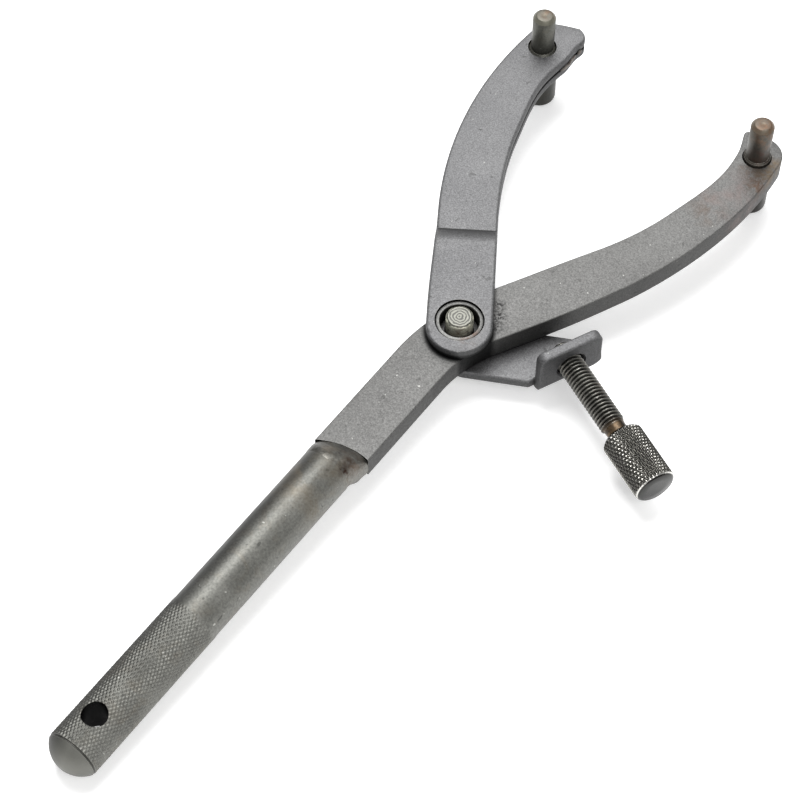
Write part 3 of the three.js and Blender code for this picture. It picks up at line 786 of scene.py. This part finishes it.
def build_peg(name, seat, high, body, node, material):
    """A double-ended peg whose thin end reaches up to high."""
    shoulder = high - PEG_THIN
    under = shoulder - PEG_SHANK
    low = under - PEG_THICK
    profile = [(0.02, low + 0.1), (PEG_THICK_R - 1.7, low)]
    for k in range(7):
        a = math.radians(15 * k)
        profile.append((PEG_THICK_R - 1.5 + 1.5 * math.sin(a), low + 1.5 * (1 - math.cos(a))))
    profile += [(PEG_THICK_R, low + 8), (PEG_THICK_R, under - 0.4), (PEG_THICK_R - 0.4, under - 0.02)]
    profile += [(PEG_SHANK_R + 0.1, under), (PEG_SHANK_R, under + 0.12), (PEG_SHANK_R, shoulder - 0.4)]
    profile += [(PEG_SHANK_R - 0.4, shoulder - 0.02), (PEG_TIP_R + 0.12, shoulder)]
    profile += [(PEG_TIP_R, shoulder + 0.12), (PEG_TIP_R, shoulder + 8), (PEG_TIP_R, high - 1.35)]
    profile += [(PEG_TIP_R - 0.06, high - 1.2), (PEG_TIP_R - 0.95, high - 0.2)]
    profile += [(PEG_TIP_R - 1.1, high - 0.06), (PEG_TIP_R - 1.3, high)]
    profile += [(0.9, high), (0.02, high - 0.12)]
    peg = turned(name, profile, along_z(*seat), 96, 28)
    put(peg, material, body, "peg_steel", node)


# ---- swinging arm -----------------------------------------------------------------------------
def plate_low(pivot_low, tip_low, s):
    """Height of a plate's underside: it steps from the pivot's level to the tip's."""
    t = min(1.0, max(0.0, (s - STEP_FROM) / (STEP_TO - STEP_FROM)))
    return pivot_low + (tip_low - pivot_low) * t ** 1.7


def plate_halves(s, heel):
    """Half widths of a plate towards its inner and its outer edge."""
    d = swing_length - s
    slim = 1.6 * smooth((s - 45) / 60) + 1.6 * smooth((14 - d) / 9)
    inner = HEEL_HALF - slim - 1.4 * hump(d, 24.6, 24)
    outer = HEEL_HALF - 1.2 * smooth((s - 5) / 40)
    back = s + heel
    limit = max(0.8, corner(HEEL_HALF, HEEL_HALF, back)) if back < HEEL_HALF else math.inf
    cut_back = outer + inner - TIP_CORNER - TIP_END
    slanted = outer - cut_back * max(0.0, 1 - d / SLANT) ** 1.25
    return min(limit, corner(inner, TIP_CORNER, d)), min(limit, slanted)


def swing_plate(name, pivot_low, tip_low, heel):
    """A plate of the swinging arm, with the cutters of its two holes."""
    marks = [STEP_FROM + heel + (STEP_TO - STEP_FROM) * k / 24 for k in range(25)]
    rings = []
    for t in stations(swing_length + heel, HEEL_HALF, 9, marks, 1.5):
        s = t - heel
        inner, outer = plate_halves(s, heel)
        low = plate_low(pivot_low, tip_low, s)
        rings.append(bar_section(swing_path(s), outer, inner, low, low + PLATE, PLATE_ROUND))
    seat = drill(*SWING_SEAT, PEG_HOLE, -1, PIN_LENGTH)
    bore = drill(0, 0, BUSH_OUT + GAP, -2, PIN_LENGTH + 2)
    return loft(name, rings, 35), seat, bore


def build_upper_plate():
    plate, *holes = swing_plate("swing_upper_plate_fine", PLATE_PIVOT_LOW, PLATE_TIP_LOW, UPPER_HEEL)
    cut(plate, *holes)
    shade(plate, 32)
    put(plate, plate_material, "swing_arm", "plate_steel", "swing_upper_plate")


def rounded_slab(name, corners, radii, low, high, edge):
    """A flat slab whose outline has rounded corners and whose top and bottom edges are rolled."""
    count = len(corners)
    outline = []
    for i in range(count):
        p, q, r = (Vector(corners[(i + k) % count]) for k in (-1, 0, 1))
        a, b = (p - q).normalized(), (r - q).normalized()
        half = math.acos(max(-1, min(1, a.dot(b)))) / 2
        reach = min(radii[i] / math.tan(half), (p - q).length * 0.45, (r - q).length * 0.45)
        for k in range(9):
            t = k / 8
            start, end = q + a * reach, q + b * reach
            outline.append(start * (1 - t) ** 2 + q * 2 * t * (1 - t) + end * t * t)
    centre = sum(outline, Vector((0, 0))) / len(outline)
    rings = []
    for k in range(7):
        a = math.radians(15 * k)
        rings.append((edge * (1 - math.sin(a)), low + edge * (1 - math.cos(a))))
    rings += [(inset, high - (z - low)) for inset, z in reversed(rings)]
    shaped = []
    for inset, z in rings:
        ring = []
        for p in reversed(outline):
            away = (p - centre).normalized()
            ring.append((p.x - away.x * inset, p.y - away.y * inset, z))
        shaped.append(ring)
    return loft(name, shaped, 35)


def quarter(u, z, r, degrees):
    """Points of an arc round (u, z)."""
    return [(u + r * math.cos(math.radians(a)), z + r * math.sin(math.radians(a))) for a in degrees]


def flange_rings():
    """The turned-up end: an L-shaped section with a round bend, carried across the flange."""
    low = LOWER_PIVOT_LOW
    middle, half = (FLANGE_NEAR + FLANGE_FAR) / 2, (FLANGE_FAR - FLANGE_NEAR) / 2
    outer, round_ = FLANGE_IN + PLATE, 0.8
    bend_u = outer - FLANGE_BEND
    section = [(bend_u - 2, low), (bend_u, low)]
    section += quarter(bend_u, low + FLANGE_BEND, FLANGE_BEND, range(-80, 1, 10))
    section += [(outer, MID), (outer, FLANGE_TOP - 3)]
    section += quarter(outer - round_, FLANGE_TOP - round_, round_, range(0, 91, 18))
    section += quarter(FLANGE_IN + round_, FLANGE_TOP - round_, round_, range(90, 181, 18))
    section += [(FLANGE_IN, low + PLATE + 0.5), (FLANGE_IN - 0.5, low + PLATE)]
    section += [(bend_u - 2, low + PLATE)]
    rings = []
    for k in range(-20, 21):
        reach = half * math.sin(math.radians(k / 20 * 90))
        past = max(0.0, abs(reach) - (half - FLANGE_CORNER))
        drop = FLANGE_CORNER - math.sqrt(max(0.0, FLANGE_CORNER ** 2 - past ** 2))
        thin = round_ - math.sqrt(max(0.0, round_ ** 2 - max(0.0, abs(reach) - half + round_) ** 2))
        middle_u = FLANGE_IN + PLATE / 2
        ring = []
        for u, z in section:
            if z > low + PLATE + 0.45:
                u = middle_u + (u - middle_u) * (1 - thin / (PLATE / 2) * 0.8)
            top = z - drop * smooth((z - MID) / 6)
            if reach > 0:
                top += drop * max(0.0, 1 - (z - low) / 6)
            ring.append((*at_screw(u, middle + reach), top))
        rings.append(ring)
    return rings


def build_lower_plate():
    """The lower plate with its side strip, the turned-up flange and the screw's hole."""
    plate, *holes = swing_plate("swing_lower_plate_fine", LOWER_PIVOT_LOW, LOWER_TIP_LOW, LOWER_HEEL)
    bend_u = FLANGE_IN + PLATE - FLANGE_BEND
    corners = [(7.6, -6.9), (bend_u, FLANGE_NEAR - 2), (bend_u, FLANGE_FAR - 0.4),
               (17.5, FLANGE_FAR - 0.6), (11.2, 26.6), (-4, 7.6), (-4, -4)]
    slab = rounded_slab("strip", [at_screw(u, v) for u, v in corners],
                        [6, 1.0, 0.5, 3, 8, 2, 2], LOWER_PIVOT_LOW, LOWER_PIVOT_LOW + PLATE, 0.8)
    flange = loft("flange", flange_rings(), 35)
    join(slab, flange)
    join(plate, slab)
    face, chamfer = FLANGE_IN + PLATE, 0.9
    hole = [(SCREW_HOLE, 15), (SCREW_HOLE, face - 0.8), (SCREW_HOLE + chamfer, face + 0.1),
            (SCREW_HOLE + chamfer, face + 4.5)]
    cut(plate, *holes, turned("cutter", hole, along_screw, 72))
    shade(plate, 35)
    put(plate, plate_material, "swing_arm", "plate_steel", "swing_lower_plate")


def build_seam_weld(name, start, end, node):
    """A lumpy bead in the seam between the plates, from start to end back from the tip."""
    rings = []
    for i in range(41):
        t = i / 40
        s = swing_length - end + (end - start) * t
        x, y, h = swing_path(s)
        size = math.sin(math.pi * (0.04 + 0.92 * t)) ** 0.4
        reach = plate_halves(s, UPPER_HEEL)[0] + 0.15
        ring = []
        for k in range(24):
            a = 2 * math.pi * k / 24
            lump = 1 + 0.3 * noise.noise(Vector((s * 0.9, math.cos(a), math.sin(a))))
            across = reach + 0.42 * size * lump * math.cos(a)
            up = MID + 0.95 * size * lump * math.sin(a)
            ring.append((x + across * math.cos(h), y - across * math.sin(h), up))
        rings.append(ring)
    bead = loft(name, rings, 60)
    put(bead, weld_material, "swing_arm", "weld_metal", node)


# ---- pivot ------------------------------------------------------------------------------------
def build_pivot():
    """The hollow bush, and the pin with a web that holds it at mid height."""
    top = PLATE_PIVOT_LOW + PLATE - BUSH_RECESS
    low = PIN_LENGTH - top
    profile = [(BUSH_IN, low + 0.4), (BUSH_IN + 0.25, low), (BUSH_OUT - 0.35, low),
               (BUSH_OUT, low + 0.35), (BUSH_OUT, top - 0.35), (BUSH_OUT - 0.1, top - 0.1),
               (BUSH_OUT - 0.35, top), (BUSH_IN + 0.25, top), (BUSH_IN + 0.06, top - 0.12),
               (BUSH_IN, top - 0.4)]
    rings = []
    for r, z in profile + profile[:1]:
        rings.append([(r * math.cos(-2 * math.pi * k / 128), r * math.sin(-2 * math.pi * k / 128), z)
                      for k in range(128)])
    bush = loft("pivot_bush_fine", rings, 32, closed=False)
    put(bush, bush_material, "swing_arm", "pivot_steel", "pivot_bush")
    web_r, web_half, groove = 5.65, 2.6, 0.28
    half = [(web_r, MID + web_half), (PIN_R + 0.3, MID + web_half), (PIN_R, MID + web_half + 0.3)]
    half += [(PIN_R, PIN_LENGTH - 0.9), (PIN_R - 0.12, PIN_LENGTH - 0.55)]
    half += [(PIN_R - 0.7, PIN_LENGTH - 0.04)]
    r = PIN_R - 0.9
    while r > 0.2:
        half.append((r, PIN_LENGTH - 0.02 - 0.035 * (round(r / groove) % 2)))
        r -= groove
    half.append((0.02, PIN_LENGTH - 0.05))
    lower = [(r, PIN_LENGTH - z) for r, z in reversed(half)]
    pin = turned("pivot_pin_fine", lower + half, along_z(0, 0), 96, 25)
    put(pin, pin_material, "swing_arm", "pivot_steel", "pivot_pin")


# ---- thumbscrew -------------------------------------------------------------------------------
def build_stud():
    """The threaded stud: one helical thread with a lead-in, a run-out and a plain neck."""
    depth, crest = 0.72, 3.98
    profile = [(0.02, THREAD_TIP), (2.6, THREAD_TIP), (2.95, THREAD_TIP + 0.25)]
    u = THREAD_TIP + 0.4
    while u < THREAD_END:
        profile.append((crest, u))
        u += PITCH / 12
    profile += [(crest, THREAD_END), (NECK_R, THREAD_END + 0.7), (NECK_R, NECK_END + 6)]
    profile += [(0.02, NECK_END + 6)]

    def radius_at(r, u, a):
        if r < crest:
            return r
        if u >= THREAD_END:
            return NECK_R + 0.1
        wave = abs(((u / PITCH + a / (2 * math.pi)) % 1.0) * 2 - 1)
        tooth = min(1.0, max(0.0, (wave - 0.06) * 1.25))
        lead_in = smooth((u - THREAD_TIP) / 1.3)
        run_out = smooth((THREAD_END - u) / 1.2)
        return (crest - depth + depth * tooth * run_out) * (0.78 + 0.22 * lead_in)

    stud = turned("screw_stud_fine", profile, along_screw, 72, 28, radius_at)
    put(stud, thread_material, "stud", "screw_steel", "screw_stud")


def build_knob():
    """The knurled head, with a hollow that takes the stud's neck."""
    starts, depth = 32, 0.42
    slope = starts / (2 * math.pi * KNOB_R) * math.tan(math.radians(30))
    start, end = NECK_END, KNOB_END
    profile = [(3.55, start + 5), (3.55, start + 0.2), (3.75, start), (KNOB_R - 1.2, start),
               (KNOB_R - 0.9, start + 0.08), (KNOB_R - 0.35, start + 0.7)]
    u = start + 1.0
    while u < end - 1.0:
        profile.append((KNOB_R, u))
        u += 0.19
    profile += [(KNOB_R - 0.12, end - 0.75), (KNOB_R - 0.85, end - 0.08), (KNOB_R - 1.0, end),
                (3.0, end), (0.02, end)]

    def radius_at(r, u, a):
        if r < KNOB_R:
            return r
        return r - depth * (1 - knurl(a, u, starts, slope))

    knob = turned("screw_knob_fine", profile, along_screw, 256, 40, radius_at)
    put(knob, knob_material, "knob", "screw_steel", "screw_knob")


build_handle()
build_handle_weld()
build_fixed_arm()
build_peg("fixed_peg_fine", FIXED_SEAT, FIXED_TOP, "handle", "fixed_peg", fixed_peg_material)
build_upper_plate()
build_lower_plate()
build_seam_weld("tip_weld_inner_bead", 7.2, 16.0, "tip_weld_inner")
build_seam_weld("tip_weld_corner_bead", 4.0, 6.0, "tip_weld_corner")
build_peg("swing_peg_fine", SWING_SEAT, SWING_TOP, "swing_arm", "swing_peg", swing_peg_material)
build_pivot()
build_stud()
build_knob()


# ---- stage: floor, light, camera --------------------------------------------------------------
def build_floor():
    """A pale floor that the two peg ends and the handle's end rest on."""
    peg_length = PEG_THIN + PEG_SHANK + PEG_THICK
    rests = [Vector((*FIXED_SEAT, FIXED_TOP - peg_length)),
             Vector((*SWING_SEAT, SWING_TOP - peg_length)),
             Vector((HANDLE_X, HANDLE_END + 5, HANDLE_Z - HANDLE_R))]
    normal = (rests[1] - rests[0]).cross(rests[2] - rests[0]).normalized()
    normal = normal if normal.z > 0 else -normal
    place = sum(rests, Vector()) / 3 * MM - normal * 0.0003
    bpy.ops.mesh.primitive_plane_add(size=8)
    floor = bpy.context.object
    floor.name = "floor"
    tilt = normal.to_track_quat("Z", "Y").to_matrix().to_4x4()
    floor.matrix_world = Matrix.Translation(place) @ tilt
    n = Nodes("floor_paper")
    n.shader.inputs["Base Color"].default_value = (0.93, 0.93, 0.93, 1)
    n.shader.inputs["Roughness"].default_value = 0.9
    n.shader.inputs["Emission Color"].default_value = (1, 1, 1, 1)
    n.shader.inputs["Emission Strength"].default_value = 0.34
    floor.data.materials.append(n.material)


def area_light(name, azimuth, elevation, distance, size, power):
    """A white soft box that points at the origin. Azimuth 0 is on the handle's side."""
    a, e = math.radians(azimuth), math.radians(elevation)
    back = Vector((math.sin(a) * math.cos(e), -math.cos(a) * math.cos(e), math.sin(e)))
    data = bpy.data.lights.new(name, "AREA")
    data.shape = "RECTANGLE"
    data.size, data.size_y = size
    data.energy = power
    light = bpy.data.objects.new(name, data)
    light.location = back * distance
    light.rotation_euler = back.to_track_quat("Z", "Y").to_euler()
    bpy.context.scene.collection.objects.link(light)


def build_lights():
    area_light("key", 235, 72, 1.4, (0.7, 0.7), 15)
    area_light("top_back", 210, 52, 1.5, (1.0, 0.6), 9)
    area_light("front", 60, 52, 1.6, (1.2, 0.8), 9)
    world = bpy.data.worlds.new("studio")
    bpy.context.scene.world = world
    world.use_nodes = True
    background = world.node_tree.nodes["Background"]
    background.inputs["Color"].default_value = (1, 1, 1, 1)
    background.inputs["Strength"].default_value = 0.4


def build_camera():
    """A long lens, high over the handle's right."""
    azimuth, elevation, roll = math.radians(36.27), math.radians(56.82), math.radians(0.5)
    back = Vector((math.sin(azimuth) * math.cos(elevation), -math.cos(azimuth) * math.cos(elevation),
                   math.sin(elevation)))
    level = Vector((math.cos(azimuth), math.sin(azimuth), 0))
    rise = back.cross(level)
    right = level * math.cos(roll) + rise * math.sin(roll)
    up = rise * math.cos(roll) - level * math.sin(roll)
    aim = (right * -17.68 + up * -14.46 + Vector((0, 0, 0.2))) * MM
    data = bpy.data.cameras.new("camera")
    data.sensor_width = 36
    data.lens = 112.5
    data.clip_start = 0.01
    camera = bpy.data.objects.new("camera", data)
    turn = Matrix((right, up, back)).transposed().to_4x4()
    camera.matrix_world = Matrix.Translation(aim + back * 0.7596) @ turn
    bpy.context.scene.collection.objects.link(camera)
    bpy.context.scene.camera = camera


build_floor()
build_lights()
build_camera()
bpy.context.scene.view_settings.view_transform = "Standard"
